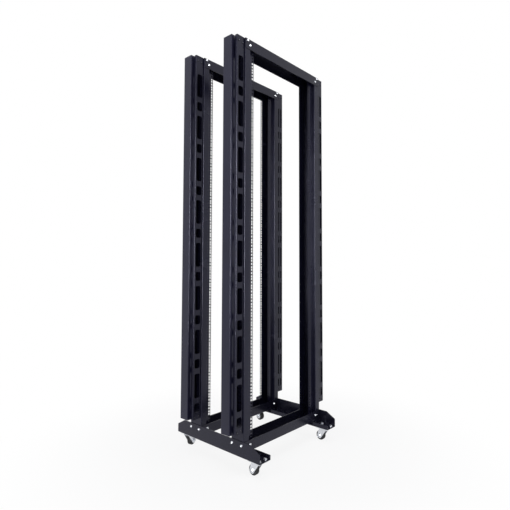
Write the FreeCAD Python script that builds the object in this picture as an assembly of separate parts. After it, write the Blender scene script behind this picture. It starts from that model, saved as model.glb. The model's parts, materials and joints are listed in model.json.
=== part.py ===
import FreeCAD, Part
import math
import os

from FreeCAD import Vector

# Four post open frame rack, 42 units high, on four swivel casters.
# Millimetres. +Z up, the front of the rack faces -Y, X runs from left to right.
# Origin: on the floor, in the middle between the left and right and the front and rear posts.

# ---------------------------------------------------------------- driving dimensions
RACK_UNIT = 44.45            # EIA-310 rack unit
UNITS = 42                   # rack units between the bottom and the top beams
OPENING = 450.0              # clear width between the posts, EIA-310
HOLE_TO_EDGE = 7.55          # middle of a hole column to the opening, EIA-310
HOLE_SIZE = 9.5              # square hole for a cage nut
HOLE_HEIGHTS = (6.35, 22.225, 38.1)   # the three holes of one unit, from its lower line

SHEET = 2.0                  # sheet steel of posts, beams, panels and channels
PLATE = 3.0                  # sheet steel of the two feet
BEND = 3.0                   # outside radius of the bends of posts, panels and channels
BEAM_BEND = 2.0              # outside radius of the bends of beams and feet

POST_WIDTH = 75.0            # post section, side to side
POST_DEPTH = 84.0            # post section, front to back
STRIP_WIDTH = 40.0           # hole strip, from the opening to the step
STRIP_SETBACK = 18.0         # hole strip behind the front face of the post
FRAME_PITCH = 309.0          # front face of the front posts to front face of the rear posts

BEAM_TOP_FACE = 50.0         # flanges of a top beam
BEAM_BOTTOM_FACE = 50.0      # flanges of a bottom beam
BEAM_TO_UNIT = 1.5           # edge of a beam to the nearest unit line
BEAM_END_GAP = 1.0           # end of a beam to the next sheet

FOOT_LENGTH = 600.0          # foot, front to back
FOOT_WIDTH = 73.0            # foot, side to side
FOOT_WEB_HEIGHT = 72.0       # outer web of a foot
FOOT_END_HEIGHT = 42.0       # outer web at its tapered ends
FOOT_TAPER = 55.0            # length of the taper
FOOT_LIP_HEIGHT = 22.0       # lip along the inner side of a foot
FOOT_TO_UNIT = 1.0           # top of a foot below the first unit line
NOTCH_GAP = 2.0              # notch in the lip round the posts

PANEL_WIDTH = 48.0           # slotted panel, post to outer bend
PANEL_SETBACK = 7.0          # slotted panel behind the front face of the post
PANEL_RETURN = 15.0          # its outer edge folded back
PANEL_FLANGE = 40.0          # its flange along the post
SLOT_WIDTH = 32.0
SLOT_OFFSET = -1.0           # slots outward of the middle of the panel
SLOT_RADIUS = 9.0
SLOT_LONG = 122.0
SLOT_SHORT = 46.0
SLOT_BETWEEN = 27.0          # bridge between neighbouring slots
SLOT_PAIRS = 8
SLOT_FROM_TOP = 98.0         # upper end of the first long slot under the top of the rack

CHANNEL_WIDTH = 65.0         # side channel, post to outer wall
CHANNEL_SETBACK = 28.0       # its lip behind the front face of the post
CHANNEL_LIP = 28.0           # lip along the front of the outer wall
CHANNEL_LAP = 20.0           # overlap on the rear flange of the post
CHANNEL_ABOVE_FOOT = 38.0    # lower end of panels and channels above the foot

CASTER_HEIGHT = 74.0         # floor to the underside of the foot
WHEEL_DIAMETER = 50.0
TYRE_WIDTH = 20.0
TYRE_THICKNESS = 5.0
TYRE_CHAMFER = 2.5
RIM_TO_TYRE = 1.0            # rim narrower than the tyre, each side
RIM_THICKNESS = 3.0
DISC_WIDTH = 8.0
HUB_TO_CHEEK = 2.0           # end of the hub to the cheek of the fork
HUB_DIAMETER = 16.0
AXLE_DIAMETER = 8.0
AXLE_HEAD_DIAMETER = 14.0
AXLE_HEAD = 3.5
TRAIL = 22.0                 # wheel axle behind the swivel axis
CASTER_INSET = 46.0          # swivel axis from the end of the foot
CASTER_PLATE_LENGTH = 76.0
CASTER_PLATE_WIDTH = 60.0
CASTER_PLATE_THICK = 2.5
CASTER_PLATE_CORNER = 6.0
KINGPIN_DIAMETER = 12.0
KINGPIN_HEAD_DIAMETER = 18.0
KINGPIN_HEAD = 2.0
RUNNING_FIT = 0.05           # radial play of a turning bore on its pin
RACE_DIAMETER = 30.0
RACE_GAP = 0.5               # race of the plate above the fork
FORK_SHEET = 2.5
FORK_INSIDE = 28.0           # between the two cheeks
FORK_BELOW_PLATE = 5.5       # top of the fork under the plate
FORK_TOP_DIAMETER = 52.0     # also the width of a cheek at its top
FORK_EYE_DIAMETER = 28.0     # round end of a cheek at the axle

# ---------------------------------------------------------------- levels and edges that follow
HOLE_SPACING = OPENING + 2 * HOLE_TO_EDGE   # 465.1 between the left and right columns
SLOT_PITCH = 5 * RACK_UNIT   # one long and one short slot with their bridges
REACH = 1.0                  # how far a cutting tool stands out of the sheet
FOOT_UNDER = CASTER_HEIGHT
FOOT_TOP = FOOT_UNDER + FOOT_WEB_HEIGHT
UNIT_ZERO = FOOT_TOP + FOOT_TO_UNIT
UNIT_LAST = UNIT_ZERO + UNITS * RACK_UNIT
RACK_TOP = UNIT_LAST + BEAM_TO_UNIT + BEAM_TOP_FACE
POST_INNER = OPENING / 2
POST_OUTER = POST_INNER + POST_WIDTH
POST_BOTTOM = FOOT_UNDER + PLATE
POST_TOP = RACK_TOP - SHEET
FRONT = -(FRAME_PITCH + POST_DEPTH) / 2
BACK = FRONT + POST_DEPTH
STRIP = FRONT + STRIP_SETBACK
SIDE_BOTTOM = FOOT_TOP + CHANNEL_ABOVE_FOOT


def block(x0, x1, y0, y1, z0, z1):
    return Part.makeBox(x1 - x0, y1 - y0, z1 - z0, Vector(x0, y0, z0))


def cylinder(diameter, length, base, axis):
    return Part.makeCylinder(diameter / 2, length, Vector(*base), Vector(*axis))


def mirror_x(shape):
    return shape.mirror(Vector(0, 0, 0), Vector(1, 0, 0))


def to_rear(shape):
    # the rear frame stands one pitch behind the front one and faces the same way
    moved = shape.copy()
    moved.translate(Vector(0, FRAME_PITCH, 0))
    return moved


def prism(points, direction, length):
    # a closed outline of points pushed along a direction
    wire = Part.makePolygon([Vector(*p) for p in points] + [Vector(*points[0])])
    return Part.Face(wire).extrude(Vector(*direction) * length)


def bent_sheet(path, thickness, z0, z1):
    # an upright folded sheet: the path is its outer face in plan with square corners, the
    # sheet lies on the left hand of the path and every fold is rounded on its outer side
    rows = [Vector(x, y, 0) for x, y in path]
    inner = []
    folds = set()
    for i, point in enumerate(rows):
        before = rows[i] - rows[i - 1] if i > 0 else rows[1] - rows[0]
        after = rows[i + 1] - rows[i] if i < len(rows) - 1 else rows[i] - rows[i - 1]
        before.normalize()
        after.normalize()
        left = Vector(-before.y - after.y, before.x + after.x, 0)
        inner.append(point + left * (2 * thickness / left.dot(left)))
        turn = before.cross(after).z
        if turn:
            corner = point if turn > 0 else inner[i]
            folds.add((round(corner.x, 3), round(corner.y, 3)))
    outline = rows + inner[::-1]
    solid = Part.Face(Part.makePolygon(outline + [outline[0]])).extrude(Vector(0, 0, z1 - z0))
    solid.translate(Vector(0, 0, z0))
    picked = []
    for edge in solid.Edges:
        a = edge.Vertexes[0].Point
        upright = abs(edge.Vertexes[-1].Point.z - a.z) > thickness
        if upright and (round(a.x, 3), round(a.y, 3)) in folds:
            picked.append(edge)
    return solid.makeFillet(BEND, picked)


def save(name, shape):
    solid = shape.removeSplitter()
    solid.exportStep("parts/" + name + ".step")


def save_four(name, front_left, rear_left):
    save(name + "_front_left", front_left)
    save(name + "_front_right", mirror_x(front_left))
    save(name + "_rear_left", rear_left)
    save(name + "_rear_right", mirror_x(rear_left))


os.makedirs("parts", exist_ok=True)

# ---------------------------------------------------------------- the four posts
# A folded post open towards the bay: rear flange, outer web, front face, a step back and the
# hole strip. The rear posts also have the hole column in their rear flange.


def hole_column(y):
    # square holes of all the units through a sheet whose front face is at y
    x = -HOLE_SPACING / 2
    h = HOLE_SIZE / 2
    holes = []
    for unit in range(UNITS):
        for height in HOLE_HEIGHTS:
            z = UNIT_ZERO + unit * RACK_UNIT + height
            holes.append(block(x - h, x + h, y - REACH, y + SHEET + REACH, z - h, z + h))
    return Part.makeCompound(holes)


def post():
    step = POST_INNER + STRIP_WIDTH
    path = [
        (-POST_INNER, BACK),
        (-POST_OUTER, BACK),
        (-POST_OUTER, FRONT),
        (-step, FRONT),
        (-step, STRIP),
        (-POST_INNER, STRIP),
    ]
    sheet = bent_sheet(path, SHEET, POST_BOTTOM, POST_TOP)
    return sheet.cut(hole_column(STRIP))


front_post = post()
rear_post = to_rear(front_post.cut(hole_column(BACK - SHEET)))
save_four("post", front_post, rear_post)

# ---------------------------------------------------------------- slotted panels beside the posts
# One folded sheet: a flange along the post, the slotted face and an edge folded back.


def slot(z_top, length):
    # an upright slot with round corners, cut from front to back
    middle = POST_OUTER + PANEL_WIDTH / 2 + SLOT_OFFSET
    face = FRONT + PANEL_SETBACK
    outline = block(-middle - SLOT_WIDTH / 2, -middle + SLOT_WIDTH / 2,
                    face - REACH, face + SHEET + REACH, z_top - length, z_top)
    edges = [e for e in outline.Edges if abs(e.Vertexes[0].Y - e.Vertexes[-1].Y) > SHEET]
    return outline.makeFillet(SLOT_RADIUS, edges)


def slotted_panel():
    face = FRONT + PANEL_SETBACK
    path = [
        (-POST_OUTER - PANEL_WIDTH, face + PANEL_RETURN),
        (-POST_OUTER - PANEL_WIDTH, face),
        (-POST_OUTER, face),
        (-POST_OUTER, face + PANEL_FLANGE),
    ]
    sheet = bent_sheet(path, SHEET, SIDE_BOTTOM, RACK_TOP)
    slots = []
    for pair in range(SLOT_PAIRS):
        top = RACK_TOP - SLOT_FROM_TOP - pair * SLOT_PITCH
        slots.append(slot(top, SLOT_LONG))
        slots.append(slot(top - SLOT_LONG - SLOT_BETWEEN, SLOT_SHORT))
    return sheet.cut(Part.makeCompound(slots))


panel = slotted_panel()
save_four("slotted_panel", panel, to_rear(panel))

# ---------------------------------------------------------------- side channels
# One folded sheet behind each slotted panel: the back, lapped on the rear flange of the post,
# the outer wall and a lip. The lap is cut away where the top beam passes.


def side_channel():
    wall = POST_OUTER + CHANNEL_WIDTH
    path = [
        (-POST_OUTER + CHANNEL_LAP, BACK + SHEET),
        (-wall, BACK + SHEET),
        (-wall, FRONT + CHANNEL_SETBACK),
        (-wall + CHANNEL_LIP, FRONT + CHANNEL_SETBACK),
    ]
    sheet = bent_sheet(path, SHEET, SIDE_BOTTOM, RACK_TOP)
    passage = block(-POST_OUTER - BEAM_END_GAP, -POST_INNER, BACK - REACH, BACK + SHEET + REACH,
                    RACK_TOP - BEAM_TOP_FACE - BEAM_END_GAP, RACK_TOP + REACH)
    return sheet.cut(passage)


channel = side_channel()
save_four("side_channel", channel, to_rear(channel))

# ---------------------------------------------------------------- beams
# A top beam is a channel turned upside down over the ends of two posts, its flanges outside
# theirs. A bottom beam is open upwards; its web ends between the posts and its flanges run on
# as ears over their front faces and rear flanges.


def beam(z_web, z_edge, half):
    # a channel along X, its web at z_web and the edges of its flanges at z_edge
    y0 = FRONT - SHEET
    y1 = BACK + SHEET
    inside = z_web + SHEET if z_edge > z_web else z_web - SHEET
    outline = [
        (-half, y0, z_edge),
        (-half, y0, z_web),
        (-half, y1, z_web),
        (-half, y1, z_edge),
        (-half, y1 - SHEET, z_edge),
        (-half, y1 - SHEET, inside),
        (-half, y0 + SHEET, inside),
        (-half, y0 + SHEET, z_edge),
    ]
    sheet = prism(outline, (1, 0, 0), 2 * half)
    bends = [e for e in sheet.Edges if e.Length > half and abs(e.Vertexes[0].Z - z_web) < SHEET / 2]
    return sheet.makeFillet(BEAM_BEND, bends)


def bottom_beam():
    edge = UNIT_ZERO - BEAM_TO_UNIT
    web = edge - BEAM_BOTTOM_FACE
    half = POST_OUTER - BEAM_END_GAP
    channel = beam(web, edge, half)
    inner = POST_INNER - BEAM_END_GAP
    for x0, x1 in ((-half - REACH, -inner), (inner, half + REACH)):
        channel = channel.cut(block(x0, x1, FRONT, BACK, web - REACH, edge + REACH))
    return channel


top_beam = beam(RACK_TOP, RACK_TOP - BEAM_TOP_FACE, POST_OUTER - BEAM_END_GAP)
low_beam = bottom_beam()
save("top_beam_front", top_beam)
save("top_beam_rear", to_rear(top_beam))
save("bottom_beam_front", low_beam)
save("bottom_beam_rear", to_rear(low_beam))

# ---------------------------------------------------------------- feet
# A channel open upwards from front to back; the posts stand on its base against the outer web,
# which tapers at both ends. The inner side has a low lip, cut away round the posts.


def foot():
    half = FOOT_LENGTH / 2
    x0 = -POST_OUTER - PLATE
    x1 = x0 + FOOT_WIDTH
    low = FOOT_UNDER
    web = prism([
        (x0, -half, low),
        (x0, -half, low + FOOT_END_HEIGHT),
        (x0, -half + FOOT_TAPER, FOOT_TOP),
        (x0, half - FOOT_TAPER, FOOT_TOP),
        (x0, half, low + FOOT_END_HEIGHT),
        (x0, half, low),
    ], (1, 0, 0), PLATE)
    base = block(x0, x1, -half, half, low, low + PLATE)
    lip = block(x1 - PLATE, x1, -half, half, low, low + FOOT_LIP_HEIGHT)
    channel = web.fuse([base, lip]).removeSplitter()
    bends = [e for e in channel.Edges
             if e.Length > FOOT_LENGTH - FOOT_TAPER and e.Vertexes[0].Z < low + PLATE / 2]
    channel = channel.makeFillet(BEAM_BEND, bends)
    notch = block(x1 - PLATE, x1 + REACH, FRONT - SHEET - NOTCH_GAP, BACK + SHEET + NOTCH_GAP,
                  low + PLATE, FOOT_TOP)
    return channel.cut(notch).cut(to_rear(notch))


foot_left = foot()
save("foot_left", foot_left)
save("foot_right", mirror_x(foot_left))

# ---------------------------------------------------------------- casters
# Drawn about the swivel axis at x = y = 0 with the wheel trailing towards +Y.

WHEEL_Z = WHEEL_DIAMETER / 2
CORE_DIAMETER = WHEEL_DIAMETER - 2 * TYRE_THICKNESS
RIM_WIDTH = TYRE_WIDTH - 2 * RIM_TO_TYRE
HUB_WIDTH = FORK_INSIDE - 2 * HUB_TO_CHEEK
PLATE_UNDER = FOOT_UNDER - CASTER_PLATE_THICK
FORK_TOP = PLATE_UNDER - FORK_BELOW_PLATE
FORK_OUTSIDE = FORK_INSIDE / 2 + FORK_SHEET
PIN_LOW = FORK_TOP - FORK_SHEET - RACE_GAP - KINGPIN_HEAD
CASTER_X = POST_OUTER + PLATE - FOOT_WIDTH / 2
CASTER_Y = FOOT_LENGTH / 2 - CASTER_INSET


def round_x(diameter, width):
    # a disc about the wheel axle, in the middle between the cheeks
    return cylinder(diameter, width, (-width / 2, TRAIL, WHEEL_Z), (1, 0, 0))


def caster_plate():
    w = CASTER_PLATE_WIDTH / 2
    d = CASTER_PLATE_LENGTH / 2
    plate = block(-w, w, -d, d, PLATE_UNDER, FOOT_UNDER)
    corners = [e for e in plate.Edges if abs(e.Length - CASTER_PLATE_THICK) < SHEET / 2]
    plate = plate.makeFillet(CASTER_PLATE_CORNER, corners)
    race_low = FORK_TOP + RACE_GAP
    race = cylinder(RACE_DIAMETER, PLATE_UNDER - race_low, (0, 0, race_low), (0, 0, 1))
    pin = cylinder(KINGPIN_DIAMETER, PLATE_UNDER - PIN_LOW, (0, 0, PIN_LOW), (0, 0, 1))
    head = cylinder(KINGPIN_HEAD_DIAMETER, KINGPIN_HEAD, (0, 0, PIN_LOW), (0, 0, 1))
    return plate.fuse([race, pin, head]).removeSplitter()


def tangent_point(y, z, side):
    # where the line from the point y, z of a cheek touches its round end, on one side of it
    dy = y - TRAIL
    dz = z - WHEEL_Z
    reach = math.hypot(dy, dz)
    r = FORK_EYE_DIAMETER / 2
    angle = math.atan2(dz, dy) + side * math.acos(r / reach)
    return (-FORK_OUTSIDE, TRAIL + r * math.cos(angle), WHEEL_Z + r * math.sin(angle))


def caster_fork():
    r = FORK_TOP_DIAMETER / 2
    low = FORK_TOP - FORK_SHEET
    top = cylinder(FORK_TOP_DIAMETER, FORK_SHEET, (0, 0, low), (0, 0, 1))
    top = top.common(block(-FORK_OUTSIDE, FORK_OUTSIDE, -r, r, low, FORK_TOP))
    half = r - FORK_SHEET
    cheek = prism([
        (-FORK_OUTSIDE, -half, FORK_TOP),
        (-FORK_OUTSIDE, half, FORK_TOP),
        tangent_point(half, FORK_TOP, -1),
        (-FORK_OUTSIDE, TRAIL, WHEEL_Z),
        tangent_point(-half, FORK_TOP, 1),
    ], (1, 0, 0), FORK_SHEET)
    end = cylinder(FORK_EYE_DIAMETER, FORK_SHEET, (-FORK_OUTSIDE, TRAIL, WHEEL_Z), (1, 0, 0))
    cheek = cheek.fuse(end).removeSplitter()
    body = top.fuse([cheek, mirror_x(cheek)]).removeSplitter()
    bore = cylinder(KINGPIN_DIAMETER + 2 * RUNNING_FIT, 2 * FORK_BELOW_PLATE,
                    (0, 0, low - FORK_BELOW_PLATE), (0, 0, 1))
    eye = round_x(AXLE_DIAMETER, 2 * (FORK_OUTSIDE + REACH))
    return body.cut(bore).cut(eye)


def caster_axle():
    pin = round_x(AXLE_DIAMETER, 2 * FORK_OUTSIDE)
    head = cylinder(AXLE_HEAD_DIAMETER, AXLE_HEAD, (FORK_OUTSIDE, TRAIL, WHEEL_Z), (1, 0, 0))
    return pin.fuse([head, mirror_x(head)]).removeSplitter()


def caster_wheel():
    rim = round_x(CORE_DIAMETER, RIM_WIDTH)
    rim = rim.cut(round_x(CORE_DIAMETER - 2 * RIM_THICKNESS, RIM_WIDTH + REACH))
    hub = round_x(HUB_DIAMETER, HUB_WIDTH)
    disc = round_x(CORE_DIAMETER - RIM_THICKNESS, DISC_WIDTH)
    bore = round_x(AXLE_DIAMETER + 2 * RUNNING_FIT, HUB_WIDTH + REACH)
    return hub.fuse([disc, rim]).removeSplitter().cut(bore)


def caster_tyre():
    tyre = round_x(WHEEL_DIAMETER, TYRE_WIDTH)
    tyre = tyre.makeChamfer(TYRE_CHAMFER, [e for e in tyre.Edges if e.Closed])
    return tyre.cut(round_x(CORE_DIAMETER, TYRE_WIDTH + REACH))


CASTER_PIECES = (
    ("plate", caster_plate()),
    ("fork", caster_fork()),
    ("axle", caster_axle()),
    ("wheel", caster_wheel()),
    ("tyre", caster_tyre()),
)
# the wheels trail towards the middle, except the rear left one, which is swung sideways
REAR_LEFT_TURN = -76.0
CASTER_PLACES = (
    ("front_left", -CASTER_X, -CASTER_Y, 0.0),
    ("front_right", CASTER_X, -CASTER_Y, 0.0),
    ("rear_left", -CASTER_X, CASTER_Y, REAR_LEFT_TURN),
    ("rear_right", CASTER_X, CASTER_Y, 180.0),
)
for place, x, y, turn in CASTER_PLACES:
    for piece, shape in CASTER_PIECES:
        placed = shape.copy()
        if piece != "plate":
            placed.rotate(Vector(0, 0, 0), Vector(0, 0, 1), turn)
        placed.translate(Vector(x, y, 0))
        save("caster_" + piece + "_" + place, placed)
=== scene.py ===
import json
import math
import bpy
from mathutils import Matrix, Vector


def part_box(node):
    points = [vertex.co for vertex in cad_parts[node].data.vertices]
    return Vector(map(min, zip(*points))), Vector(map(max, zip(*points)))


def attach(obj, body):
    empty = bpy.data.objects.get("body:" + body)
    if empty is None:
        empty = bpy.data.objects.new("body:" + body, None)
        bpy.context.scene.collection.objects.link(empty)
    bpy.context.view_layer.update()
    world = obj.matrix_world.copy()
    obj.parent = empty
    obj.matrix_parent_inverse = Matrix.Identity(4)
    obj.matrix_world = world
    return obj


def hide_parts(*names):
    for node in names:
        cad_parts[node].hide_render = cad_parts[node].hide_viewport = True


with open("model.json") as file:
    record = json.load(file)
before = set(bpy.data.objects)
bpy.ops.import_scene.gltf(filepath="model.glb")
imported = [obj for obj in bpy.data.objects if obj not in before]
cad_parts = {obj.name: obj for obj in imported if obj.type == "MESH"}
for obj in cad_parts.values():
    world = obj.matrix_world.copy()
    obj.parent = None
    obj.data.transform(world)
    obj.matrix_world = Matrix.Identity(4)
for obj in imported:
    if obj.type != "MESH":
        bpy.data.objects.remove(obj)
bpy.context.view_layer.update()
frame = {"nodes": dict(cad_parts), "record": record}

# ---------------------------------------------------------------- finishes of the sheet steel
# Every folded piece of the rack is mild steel sheet with a black polyester powder coat,
# sprayed dry and baked. The coat is satin, a little blue-black, with fine orange peel.

FILM_CLOUDS = 7.0            # clouds to the metre: the film varies over about 140 mm
ORANGE_PEEL = 500.0          # cells to the metre: the peel is 2 mm across
POWDER_GRAIN = 1100.0        # the cured powder, 0.3 mm in the real coat, drawn at 0.9 mm to show
COATS = (                    # pieces, dark and light tone, how the names of the pieces start
    ("posts", ("#141424", "#1b1b2f"), ("post_",)),
    ("slotted_panels", ("#121221", "#19192c"), ("slotted_panel_",)),
    ("side_channels", ("#161627", "#1e1e34"), ("side_channel_",)),
    ("beams", ("#141420", "#1b1b2a"), ("top_beam_", "bottom_beam_")),
    ("feet", ("#151521", "#1d1d2c"), ("foot_",)),
)


def srgb(code):
    # sRGB hex colour to the linear values of a shader socket
    parts = [int(code[i:i + 2], 16) / 255 for i in (1, 3, 5)]
    linear = [c / 12.92 if c <= 0.04045 else ((c + 0.055) / 1.055) ** 2.4 for c in parts]
    return (*linear, 1.0)


def add_node(tree, kind, settings=(), inputs=(), links=()):
    # a node with its settings, its socket values and its links as (socket, node, output)
    made = tree.nodes.new(kind)
    for name, value in dict(settings).items():
        setattr(made, name, value)
    for name, value in dict(inputs).items():
        made.inputs[name].default_value = value
    for socket, source, output in links:
        tree.links.new(source.outputs[output], made.inputs[socket])
    return made


def new_material(name):
    made = bpy.data.materials.new(name)
    made.use_nodes = True
    made.node_tree.nodes.clear()
    return made, made.node_tree


def surface(name, tones, clouds, rough, grains, bump, body):
    # Two tones and the roughness drift together in soft clouds, so many to the metre. The
    # relief is the sum of the grains, each as (cells to the metre, detail, share).
    made, tree = new_material(name)
    place = add_node(tree, "ShaderNodeTexCoord")
    at = [("Vector", place, "Object")]
    cloud = add_node(tree, "ShaderNodeTexNoise", {}, {"Scale": clouds, "Detail": 3.0}, at)
    tone = add_node(tree, "ShaderNodeMix", {"data_type": "RGBA"},
                    {"A": srgb(tones[0]), "B": srgb(tones[1])}, [("Factor", cloud, "Fac")])
    gloss = add_node(tree, "ShaderNodeMapRange", {}, rough, [("Value", cloud, "Fac")])
    relief = None
    for scale, detail, share in grains:
        grain = add_node(tree, "ShaderNodeTexNoise", {}, {"Scale": scale, "Detail": detail}, at)
        below = [(2, relief, "Value")] if relief else []
        relief = add_node(tree, "ShaderNodeMath", {"operation": "MULTIPLY_ADD"},
                          {1: share, 2: 0.0}, [(0, grain, "Fac")] + below)
    normal = add_node(tree, "ShaderNodeBump", {}, bump, [("Height", relief, "Value")])
    shader = add_node(tree, "ShaderNodeBsdfPrincipled", {}, body,
                      [("Base Color", tone, "Result"), ("Roughness", gloss, "Result"),
                       ("Normal", normal, "Normal")])
    add_node(tree, "ShaderNodeOutputMaterial", {}, {}, [("Surface", shader, "BSDF")])
    return made


def powder_coat(name, tones):
    # polyester powder coat: satin, in two close tones, with orange peel and the powder's grain
    return surface(
        name, tones, FILM_CLOUDS,
        rough={"From Min": 0.3, "From Max": 0.7, "To Min": 0.20, "To Max": 0.29},
        grains=((ORANGE_PEEL, 1.0, 1.0), (POWDER_GRAIN, 2.0, 0.35)),
        bump={"Strength": 0.18, "Distance": 0.0006},
        body={"IOR": 1.5, "Specular IOR Level": 0.32, "Specular Tint": srgb("#e8e8ff")})


def finish_nodes(starts, material):
    # gives every piece of the frame whose name starts so its finish
    for name, piece in frame["nodes"].items():
        if name.startswith(starts):
            piece.data.materials.clear()
            piece.data.materials.append(material)


for pieces, tones, starts in COATS:
    finish_nodes(starts, powder_coat("powder_coat_" + pieces, tones))

# ---------------------------------------------------------------- screws of the frame
# Pan head machine screws, M6, cold headed steel with bright zinc plate. On both faces two hold
# each end of a top beam and one each end of a bottom beam; two go through the foot into every
# post.

SCREW_HEAD = 0.0062          # radius of the pan head
SCREW_HIGH = 0.0036
SCREW_ROUND = 0.6            # share of the height that is rounded
DRIVE_RIM = 0.28             # rim round the drive recess, as a share of the radius
DRIVE_DEEP = 0.45            # its depth, as a share of the height
DRIVE_FLOOR = 0.55           # its floor, as a share of its mouth
ZINC_CLOUDS = 85.0           # clouds to the metre: the plate is cloudy over 12 mm
ZINC_LINES = 2000.0          # lines of heading and tumbling, 0.1 mm, drawn at 0.5 mm
TOP_SCREWS = ((0.0145, 0.009), (0.0295, 0.030))   # in from the beam's end, below its top
BOTTOM_SCREW = (0.040, 0.020)
FOOT_SCREW_DOWN = 0.018      # below the top of the foot
FOOT_SCREW_FRONT = 0.012     # behind the front face of the post
FOOT_SCREW_REAR = 0.009      # before the rear face of the post
FORWARD, BACKWARD = (0, -1, 0), (0, 1, 0)
UP, DOWN = (0, 0, 1), (0, 0, -1)


def zinc_plate(name, tones, rough):
    # electroplated zinc: bright grey metal, slightly cloudy, with fine lines from the making
    return surface(
        name, tones, ZINC_CLOUDS,
        rough={"To Min": rough - 0.08, "To Max": rough + 0.1},
        grains=((ZINC_LINES, 1.0, 1.0),),
        bump={"Strength": 0.15, "Distance": 0.0002},
        body={"Metallic": 1.0})


def deselect():
    if bpy.context.object and bpy.context.object.mode != "OBJECT":
        bpy.ops.object.mode_set(mode="OBJECT")
    bpy.ops.object.select_all(action="DESELECT")


def cylinder(sides, radius, depth, middle=0.0, ends="NGON"):
    # on the axis of Z, with its middle at that height
    deselect()
    bpy.ops.mesh.primitive_cylinder_add(vertices=sides, radius=radius, depth=depth,
                                        end_fill_type=ends, location=(0, 0, middle))
    bpy.ops.object.transform_apply(location=True)
    return bpy.context.object


def pick(piece, faces=None, edges=None):
    # in edit mode: selects the faces whose centre and normal answer the question, or the edges
    # whose two ends do
    bpy.ops.mesh.select_all(action="DESELECT")
    bpy.ops.object.mode_set(mode="OBJECT")
    mesh = piece.data
    if faces:
        bpy.context.tool_settings.mesh_select_mode = (False, False, True)
        for face in mesh.polygons:
            face.select = faces(face.center, face.normal)
    else:
        bpy.context.tool_settings.mesh_select_mode = (False, True, False)
        for edge in mesh.edges:
            a, b = (mesh.vertices[i].co for i in edge.vertices)
            edge.select = edges(a, b)
    bpy.ops.object.mode_set(mode="EDIT")


def push(height):
    # in edit mode: extrudes the picked faces along Z
    bpy.ops.mesh.extrude_region_move(TRANSFORM_OT_translate={"value": (0, 0, height)})


def smooth(degrees):
    # smooth shading of the selected piece over every edge flatter than this
    bpy.ops.object.shade_smooth_by_angle(angle=math.radians(degrees))


def join(pieces):
    # makes one piece of them, which is the first
    deselect()
    for piece in pieces:
        piece.select_set(True)
    bpy.context.view_layer.objects.active = pieces[0]
    bpy.ops.object.join()
    return pieces[0]


def pan_head_screw():
    # lies at the origin, its head towards +Z, with a tapered round recess for the driver
    screw = cylinder(24, SCREW_HEAD, SCREW_HIGH, SCREW_HIGH / 2)
    level = SCREW_HIGH * 0.9
    bpy.ops.object.mode_set(mode="EDIT")
    pick(screw, edges=lambda a, b: a.z > level and b.z > level)
    bpy.ops.mesh.bevel(offset=SCREW_HIGH * SCREW_ROUND, segments=4, profile=0.6)
    pick(screw, faces=lambda c, n: n.z > 0.9 and c.z > level)
    bpy.ops.mesh.inset(thickness=SCREW_HEAD * DRIVE_RIM)
    push(-SCREW_HIGH * DRIVE_DEEP)
    bpy.ops.transform.resize(value=(DRIVE_FLOOR, DRIVE_FLOOR, 1.0))
    bpy.ops.object.mode_set(mode="OBJECT")
    smooth(35)
    return screw


def lay_out(pattern, places, name, material, body):
    # copies a small piece to every (point, direction of its +Z) and joins the copies
    made = []
    for point, way in places:
        copy = pattern.copy()
        copy.data = pattern.data.copy()
        bpy.context.collection.objects.link(copy)
        turn = Vector(UP).rotation_difference(Vector(way)).to_matrix().to_4x4()
        copy.data.transform(Matrix.Translation(point) @ turn)
        made.append(copy)
    joined = join(made)
    joined.name = name
    joined.data.materials.clear()
    joined.data.materials.append(material)
    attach(joined, body)
    return joined


zinc_screw = zinc_plate("bright_zinc_plated_screws", ("#b9bcc2", "#d8dade"), 0.3)
screw = pan_head_screw()
for row in ("front", "rear"):
    places = []
    for beam, screws in (("top_beam_", TOP_SCREWS), ("bottom_beam_", (BOTTOM_SCREW,))):
        low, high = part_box(beam + row)
        for side in (-1, 1):
            for inward, down in screws:
                x, z = side * (high[0] - inward), high[2] - down
                places.append(((x, low[1], z), FORWARD))
                places.append(((x, high[1], z), BACKWARD))
    lay_out(screw, places, "beam_screws_" + row, zinc_screw, "frame")

for side_name, side in (("left", -1), ("right", 1)):
    low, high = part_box("foot_" + side_name)
    face = low[0] if side < 0 else high[0]
    places = []
    for row in ("front", "rear"):
        post_low, post_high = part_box("post_" + row + "_" + side_name)
        for y in (post_low[1] + FOOT_SCREW_FRONT, post_high[1] - FOOT_SCREW_REAR):
            places.append(((face, y, high[2] - FOOT_SCREW_DOWN), (side, 0, 0)))
    lay_out(screw, places, "foot_screws_" + side_name, zinc_screw, "frame")

# ---------------------------------------------------------------- screws of panels and channels
# Small pan head screws with black zinc plate: two hold the slotted panel at its top and two at
# its bottom, six go through the lap of the side channel into the rear flange of the post.

SMALL_SCREW = 0.7            # size of the small screw against the M6 one
CHANNEL_SCREWS = 6
CHANNEL_SCREW_LAP = 0.010    # outward of the inner edge of the lap
CHANNEL_SCREW_LOW = 0.040    # the lowest above the lower end of the channel
CHANNEL_SCREW_HIGH = 0.110   # the highest below its upper end
PANEL_SCREWS_TOP = ((0.012, 0.026), (0.035, 0.030))   # in from the outer edge, from the end
PANEL_SCREWS_BOTTOM = ((0.012, 0.012), (0.035, 0.016))

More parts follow.
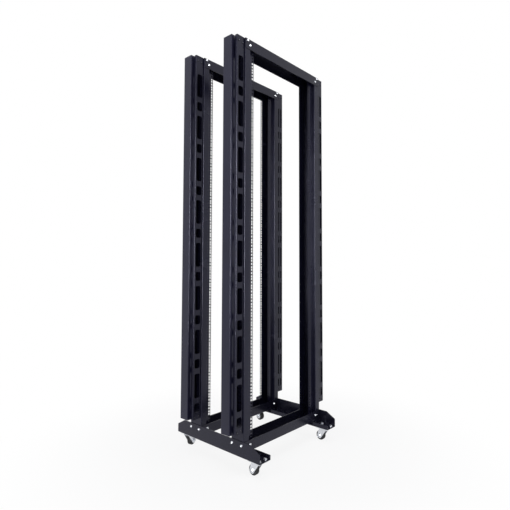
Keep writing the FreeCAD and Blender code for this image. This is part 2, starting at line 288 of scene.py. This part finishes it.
black_screw = zinc_plate("black_zinc_plated_screws", ("#26262b", "#37373d"), 0.42)
small = screw.copy()
small.data = screw.data.copy()
bpy.context.collection.objects.link(small)
small.data.transform(Matrix.Scale(SMALL_SCREW, 4))
for side_name, side in (("left", -1), ("right", 1)):
    for row in ("front", "rear"):
        name = row + "_" + side_name
        low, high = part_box("side_channel_" + name)
        lap = min(abs(low[0]), abs(high[0])) + CHANNEL_SCREW_LAP
        first = low[2] + CHANNEL_SCREW_LOW
        step = (high[2] - CHANNEL_SCREW_HIGH - first) / (CHANNEL_SCREWS - 1)
        places = [((side * lap, high[1], first + i * step), BACKWARD)
                  for i in range(CHANNEL_SCREWS)]
        lay_out(small, places, "channel_screws_" + name, black_screw, "frame")
        low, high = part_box("slotted_panel_" + name)
        outer = max(abs(low[0]), abs(high[0]))
        places = [((side * (outer - inward), low[1], high[2] - from_end), FORWARD)
                  for inward, from_end in PANEL_SCREWS_TOP]
        places += [((side * (outer - inward), low[1], low[2] + from_end), FORWARD)
                   for inward, from_end in PANEL_SCREWS_BOTTOM]
        lay_out(small, places, "panel_screws_" + name, black_screw, "frame")

# ---------------------------------------------------------------- bolts of the casters
# Each caster plate is held by four M8 bolts. Their hexagon heads lie on the base of the foot
# and their nuts under the plate, each on a washer.

BOLT_FLATS = 0.0065          # half width of an M8 head across its flats
BOLT_CORNERS = BOLT_FLATS * 1.1547
BOLT_HIGH = 0.0053
BOLT_WASHER = 0.0014
HEAD_CHAMFER = 0.16          # chamfer of a head, as a share of its height
WASHER_WIDE = 1.28           # radius of a washer against the corners of the head
BOLT_SPREAD = (0.0205, 0.0290)   # bolts from the middle of the plate, sideways and lengthways
FOOT_SHEET = 0.003
PLATE_SHEET = 0.0025
CASTERS = [row + "_" + side for row in ("front", "rear") for side in ("left", "right")]


def hexagon(height, washer):
    # a chamfered hexagon head or nut on its washer, on the plane of X and Y, towards +Z
    head = cylinder(6, BOLT_CORNERS, height, height / 2 + washer)
    level = height * 0.9
    bpy.ops.object.mode_set(mode="EDIT")
    pick(head, edges=lambda a, b: a.z > level and b.z > level)
    bpy.ops.mesh.bevel(offset=height * HEAD_CHAMFER, segments=2)
    bpy.ops.object.mode_set(mode="OBJECT")
    join([head, cylinder(28, BOLT_CORNERS * WASHER_WIDE, washer, washer / 2)])
    smooth(25)
    return head


def plate_middle(name):
    # the middle of a caster plate in plan and its upper face
    low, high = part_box("caster_plate_" + name)
    return (low[0] + high[0]) / 2, (low[1] + high[1]) / 2, high[2]


bolt = hexagon(BOLT_HIGH, BOLT_WASHER)
for name in CASTERS:
    mid_x, mid_y, plate_top = plate_middle(name)
    places = []
    for side_x in (-1, 1):
        for side_y in (-1, 1):
            x, y = mid_x + side_x * BOLT_SPREAD[0], mid_y + side_y * BOLT_SPREAD[1]
            places.append(((x, y, plate_top + FOOT_SHEET), UP))
            places.append(((x, y, plate_top - PLATE_SHEET), DOWN))
    lay_out(bolt, places, "caster_bolts_" + name, zinc_screw, "frame")

# ---------------------------------------------------------------- casters: plate, race and fork
# Pressed steel with bright zinc plate. The mounting plate and the fork come as the presses make
# them, and a drawn ring under the plate holds the balls of the swivel and keeps dust out.

RACE_RADIUS = 0.0156         # runs over the race of the mounting plate
RACE_LIP = 0.0192            # rolled lower edge of the ring
RACE_DEEP = 0.0048           # from the plate to that edge
RACE_GROOVE = (1.08, 1.13, 1.08)   # growth at one, two and three quarters of the depth
RACE_SHEET = 0.0005
SAME_LEVEL = 1e-4            # heights closer than this are one level

zinc_pressed = zinc_plate("bright_zinc_plated_pressings", ("#c3c6cc", "#e2e4e8"), 0.36)
finish_nodes("caster_plate_", zinc_pressed)
finish_nodes("caster_fork_", zinc_pressed)


def race_ring():
    # a short tube that hangs down from the origin, with a ball groove and a flared lower end
    ring = cylinder(56, RACE_RADIUS, RACE_DEEP, -RACE_DEEP / 2, ends="NOTHING")
    levels = [-RACE_DEEP * quarters / 4 for quarters in (1, 2, 3, 4)]
    widths = RACE_GROOVE + (RACE_LIP / RACE_RADIUS,)
    bpy.ops.object.mode_set(mode="EDIT")
    for level in levels[:-1]:
        bpy.ops.mesh.select_all(action="SELECT")
        bpy.ops.mesh.bisect(plane_co=(0, 0, level), plane_no=UP)
    for level, wide in zip(levels, widths):
        pick(ring, edges=lambda a, b: max(abs(a.z - level), abs(b.z - level)) < SAME_LEVEL)
        bpy.ops.transform.resize(value=(wide, wide, 1.0), center_override=(0, 0, level))
    bpy.ops.object.mode_set(mode="OBJECT")
    wall = ring.modifiers.new("sheet", "SOLIDIFY")
    wall.thickness = RACE_SHEET
    wall.offset = 1.0
    bpy.ops.object.modifier_apply(modifier=wall.name)
    smooth(40)
    return ring


ring = race_ring()
for name in CASTERS:
    mid_x, mid_y, plate_top = plate_middle(name)
    lay_out(ring, [((mid_x, mid_y, plate_top - PLATE_SHEET), UP)], "caster_race_ring_" + name,
            zinc_pressed, "frame")

# ---------------------------------------------------------------- casters: axle bolts
# A hexagon bolt M8 goes through both eyes of the fork and the hub. Its lock nut has a collar
# with a nylon ring, and the end of the thread stands out of it.

AXLE_RADIUS = 0.004
AXLE_LENGTH = 0.043
AXLE_MIDDLE = -0.0045        # middle of its length from the middle of the wheel
AXLE_END = 0.0008            # chamfer of its end
FORK_HALF = 0.0165           # outer faces of the cheeks from the middle of the wheel
AXLE_HEAD = 0.0050           # heights of the head, the nut and their washers
AXLE_NUT = 0.0048
AXLE_WASHER = 0.0012
COLLAR_STEP = 0.0012         # the nut's collar inside its corners
COLLAR_HIGH = 0.0018

zinc_bolt = zinc_plate("zinc_plated_axle_bolts", ("#b4b7bd", "#d2d4d8"), 0.32)


def axle_bolt():
    # lies along Z, the middle of the wheel at the origin, the bolt head towards +Z
    head = hexagon(AXLE_HEAD, AXLE_WASHER)
    head.data.transform(Matrix.Translation((0, 0, FORK_HALF)))
    nut = hexagon(AXLE_NUT, AXLE_WASHER)
    bpy.ops.object.mode_set(mode="EDIT")
    pick(nut, faces=lambda c, n: n.z > 0.9 and c.z > AXLE_NUT)
    bpy.ops.mesh.inset(thickness=COLLAR_STEP)
    push(COLLAR_HIGH)
    bpy.ops.object.mode_set(mode="OBJECT")
    nut.data.transform(Matrix.Translation((0, 0, -FORK_HALF)) @ Matrix.Rotation(math.pi, 4, "X"))
    shank = cylinder(28, AXLE_RADIUS, AXLE_LENGTH, AXLE_MIDDLE)
    level = AXLE_MIDDLE - AXLE_LENGTH / 2 + AXLE_END
    bpy.ops.object.mode_set(mode="EDIT")
    pick(shank, edges=lambda a, b: a.z < level and b.z < level)
    bpy.ops.mesh.bevel(offset=AXLE_END, segments=2)
    join([shank, head, nut])
    smooth(30)
    return shank


def axle_of(name):
    # the point in the middle of the wheel and the direction of its axle, from the record
    for joint in frame["record"]["behaviour"]["joints"]:
        if joint["name"] == "roll_" + name:
            return Vector(joint["pos_m"]), Vector(joint["axis"])


axle = axle_bolt()
for name in CASTERS:
    middle, way = axle_of(name)
    outward = way if (middle.x > 0) == (way.x > 0) else -way
    piece = lay_out(axle, [(middle, outward)], "caster_axle_bolt_" + name, zinc_bolt,
                    "fork_" + name)
    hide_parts("caster_axle_" + name)

# ---------------------------------------------------------------- casters: wheels
# The core is moulded in grey polypropylene with a thin web, six ribs on each side and a hub.
# The tyre is black rubber moulded on, with a round crown and a step in its side walls.

FLOW_CLOUDS = 60.0           # clouds to the metre: the melt flowed in streaks of about 17 mm
EROSION_GRAIN = 1250.0       # spark-eroded grain of the mould, 0.2 mm, drawn at 0.8 mm
CORE_RADIUS = 0.0200
CORE_WIDE = 0.018
CORE_STEPS = (               # from the rim inward: width of each step, then its way outward
    (0.0026, -0.0052),       # wall of the rim, down to the web
    (0.0094, 0.0080),        # width of the web, up to the end of the hub
    (0.0036, -0.0060),       # wall of the hub, down into its bore
)
RIBS = 6
RIB_SIZE = (0.0108, 0.0016, 0.0150)
RIB_MIDDLE = 0.0127          # from the axle
MOULD_RADIUS = 0.0004
TYRE_RADIUS = 0.0250
TYRE_WIDE = 0.020
CROWN_RADIUS = 0.0032
WALL_STEP_IN, WALL_STEP_DOWN = 0.0004, 0.0005


def moulded(name, tones, rough, grit):
    # a moulded surface: slightly streaky, with the fine grain that the tool leaves
    return surface(
        name, tones, FLOW_CLOUDS,
        rough={"To Min": rough - 0.08, "To Max": rough + 0.08},
        grains=((EROSION_GRAIN, 2.0, 1.0),),
        bump={"Strength": grit, "Distance": 0.0003},
        body={"IOR": 1.5, "Specular IOR Level": 0.3})


def wheel_core():
    # a disc on the axis of Z: both faces are sunk between the rim and the hub
    core = cylinder(64, CORE_RADIUS, CORE_WIDE)
    bpy.ops.object.mode_set(mode="EDIT")
    for side in (-1, 1):
        pick(core, faces=lambda c, n: n.z * side > 0.9 and c.z * side > CORE_WIDE * 0.45)
        for width, outward in CORE_STEPS:
            bpy.ops.mesh.inset(thickness=width)
            push(outward * side)
    bpy.ops.object.mode_set(mode="OBJECT")
    pieces = [core]
    for i in range(RIBS):
        deselect()
        bpy.ops.mesh.primitive_cube_add(size=1.0)
        rib = bpy.context.object
        turn = Matrix.Rotation(2 * math.pi * i / RIBS, 4, "Z")
        rib.data.transform(turn @ Matrix.Translation((RIB_MIDDLE, 0, 0))
                           @ Matrix.Diagonal((*RIB_SIZE, 1.0)))
        pieces.append(rib)
    join(pieces)
    edge = core.modifiers.new("mould_radius", "BEVEL")
    edge.width = MOULD_RADIUS
    edge.segments = 2
    edge.limit_method = "ANGLE"
    edge.angle_limit = math.radians(40)
    bpy.ops.object.modifier_apply(modifier=edge.name)
    smooth(35)
    return core


def tyre():
    # a thick band on the axis of Z
    band = cylinder(72, TYRE_RADIUS, TYRE_WIDE, ends="NOTHING")
    wall = band.modifiers.new("rubber", "SOLIDIFY")
    wall.thickness = TYRE_RADIUS - CORE_RADIUS
    wall.offset = -1.0
    bpy.ops.object.modifier_apply(modifier=wall.name)
    outer = TYRE_RADIUS * 0.95
    bpy.ops.object.mode_set(mode="EDIT")
    pick(band, edges=lambda a, b: abs(a.z - b.z) < SAME_LEVEL
         and min(a.xy.length, b.xy.length) > outer)
    bpy.ops.mesh.bevel(offset=CROWN_RADIUS, segments=5, profile=0.5)
    for side in (-1, 1):
        pick(band, faces=lambda c, n: n.z * side > 0.95)
        bpy.ops.mesh.inset(thickness=WALL_STEP_IN, depth=-WALL_STEP_DOWN)
    bpy.ops.object.mode_set(mode="OBJECT")
    smooth(35)
    return band


rubber = moulded("moulded_black_rubber", ("#101011", "#18181a"), 0.62, 0.3)
plastic = moulded("moulded_grey_polypropylene", ("#6b6d70", "#7b7d80"), 0.45, 0.15)
core = wheel_core()
band = tyre()
for name in CASTERS:
    spot = [axle_of(name)]
    piece = lay_out(core, spot, "caster_wheel_core_" + name, plastic, "wheel_" + name)
    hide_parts("caster_wheel_" + name)
    piece = lay_out(band, spot, "caster_rubber_tyre_" + name, rubber, "wheel_" + name)
    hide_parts("caster_tyre_" + name)

# ---------------------------------------------------------------- patterns no longer needed
# The loose pieces at the origin from which the copies were taken are removed, so that only
# what belongs to the rack is left.

for pattern in (screw, small, bolt, ring, axle, core, band):
    bpy.data.objects.remove(pattern)

# ---------------------------------------------------------------- floor and background
# A white seamless studio floor that keeps the soft shadow of the rack and is pure white further
# out, before a pure white background that lights the rack less than it shows.

FLOOR_SIZE = 60.0
FLOOR_FADE = {"From Min": 0.4, "From Max": 1.4,    # metres from the middle of the rack
              "To Min": 0.88, "To Max": 1.0}       # share of pure white in what is seen
SKY_LIGHT = 0.40


def seen_rays(tree):
    # the node of the light paths, and 1 for what the camera sees directly or in a reflection
    paths = add_node(tree, "ShaderNodeLightPath")
    return paths, add_node(tree, "ShaderNodeMath", {"operation": "MAXIMUM"}, {},
                           [(0, paths, "Is Camera Ray"), (1, paths, "Is Glossy Ray")])


deselect()
bpy.ops.mesh.primitive_plane_add(size=FLOOR_SIZE, location=(0, 0, 0))
floor = bpy.context.object
floor.name = "studio_floor"
paper, tree = new_material("matt_white_studio_floor")
paths, seen = seen_rays(tree)
place = add_node(tree, "ShaderNodeTexCoord")
far = add_node(tree, "ShaderNodeVectorMath", {"operation": "LENGTH"}, {},
               [("Vector", place, "Object")])
fade = add_node(tree, "ShaderNodeMapRange", {"interpolation_type": "SMOOTHSTEP"}, FLOOR_FADE,
                [("Value", far, "Value")])
share = add_node(tree, "ShaderNodeMath", {"operation": "MULTIPLY"}, {},
                 [(0, fade, "Result"), (1, seen, "Value")])
plain = add_node(tree, "ShaderNodeBsdfDiffuse", {}, {"Color": srgb("#e9e9ea")})
bright = add_node(tree, "ShaderNodeEmission", {}, {"Color": srgb("#ffffff"), "Strength": 1.0})
mixed = add_node(tree, "ShaderNodeMixShader", {}, {},
                 [("Fac", share, "Value"), (1, plain, "BSDF"), (2, bright, "Emission")])
add_node(tree, "ShaderNodeOutputMaterial", {}, {}, [("Surface", mixed, "Shader")])
floor.data.materials.append(paper)

world = bpy.data.worlds.new("studio_world")
bpy.context.scene.world = world
world.use_nodes = True
tree = world.node_tree
tree.nodes.clear()
paths, seen = seen_rays(tree)
clear = add_node(tree, "ShaderNodeMath", {"operation": "MAXIMUM"}, {},
                 [(0, seen, "Value"), (1, paths, "Is Transmission Ray")])
soft = add_node(tree, "ShaderNodeBackground", {},
                {"Color": srgb("#e2e4ec"), "Strength": SKY_LIGHT})
white = add_node(tree, "ShaderNodeBackground", {}, {"Color": srgb("#ffffff"), "Strength": 1.0})
both = add_node(tree, "ShaderNodeMixShader", {}, {},
                [("Fac", clear, "Value"), (1, soft, "Background"), (2, white, "Background")])
add_node(tree, "ShaderNodeOutputWorld", {}, {}, [("Surface", both, "Shader")])

# ---------------------------------------------------------------- lamps
# Three large softboxes at the left, in front and overhead, and a strip beside the camera that
# puts the long highlights on the bends. Sizes are in metres and powers in watts.


def lamp(name, point, target, size, power, on_matt=True):
    # on_matt is off for a lamp that only shows as a highlight, as if flagged off matt surfaces
    light = bpy.data.lights.new(name, "AREA")
    light.shape = "RECTANGLE"
    light.size, light.size_y = size
    light.energy = power
    piece = bpy.data.objects.new(name, light)
    bpy.context.collection.objects.link(piece)
    piece.location = point
    piece.visible_camera = False
    piece.visible_diffuse = on_matt
    aim = Vector(target) - Vector(point)
    piece.rotation_euler = aim.to_track_quat("-Z", "Y").to_euler()


lamp("left_softbox", (-3.4, 0.2, 2.3), target=(0, 0, 1.4), size=(1.6, 2.2), power=40)
lamp("front_softbox", (0.6, -4.0, 2.6), target=(0, 0, 1.4), size=(2.2, 2.0), power=24)
lamp("strip_by_the_camera", (-2.9, -2.7, 1.5), target=(0, 0, 1.1), size=(0.6, 2.6), power=380,
     on_matt=False)
lamp("top_softbox", (-0.4, -0.4, 4.4), target=(0, 0, 0), size=(2.6, 2.6), power=60)

# ---------------------------------------------------------------- camera
# At the left front of the rack and about half as high, level but for a slight tilt upwards,
# with the lens shifted a little to the side and down.

LENS = 29.909                # mm, for a sensor 36 mm wide
SHIFT = (-0.0461, -0.0191)
STAND = (-1.7072, -1.6237, 0.9572)
YAW, PITCH, ROLL = math.radians(49.181), math.radians(2.864), math.radians(-0.022)

camera_data = bpy.data.cameras.new("camera")
camera = bpy.data.objects.new("camera", camera_data)
bpy.context.collection.objects.link(camera)
camera_data.sensor_width = 36.0
camera_data.lens = LENS
camera_data.shift_x, camera_data.shift_y = SHIFT
camera.location = STAND
look = (Matrix.Rotation(-YAW, 4, "Z") @ Matrix.Rotation(math.pi / 2 + PITCH, 4, "X")
        @ Matrix.Rotation(-ROLL, 4, "Z"))
camera.rotation_euler = look.to_euler()
bpy.context.scene.camera = camera
bpy.context.scene.view_settings.view_transform = "Standard"
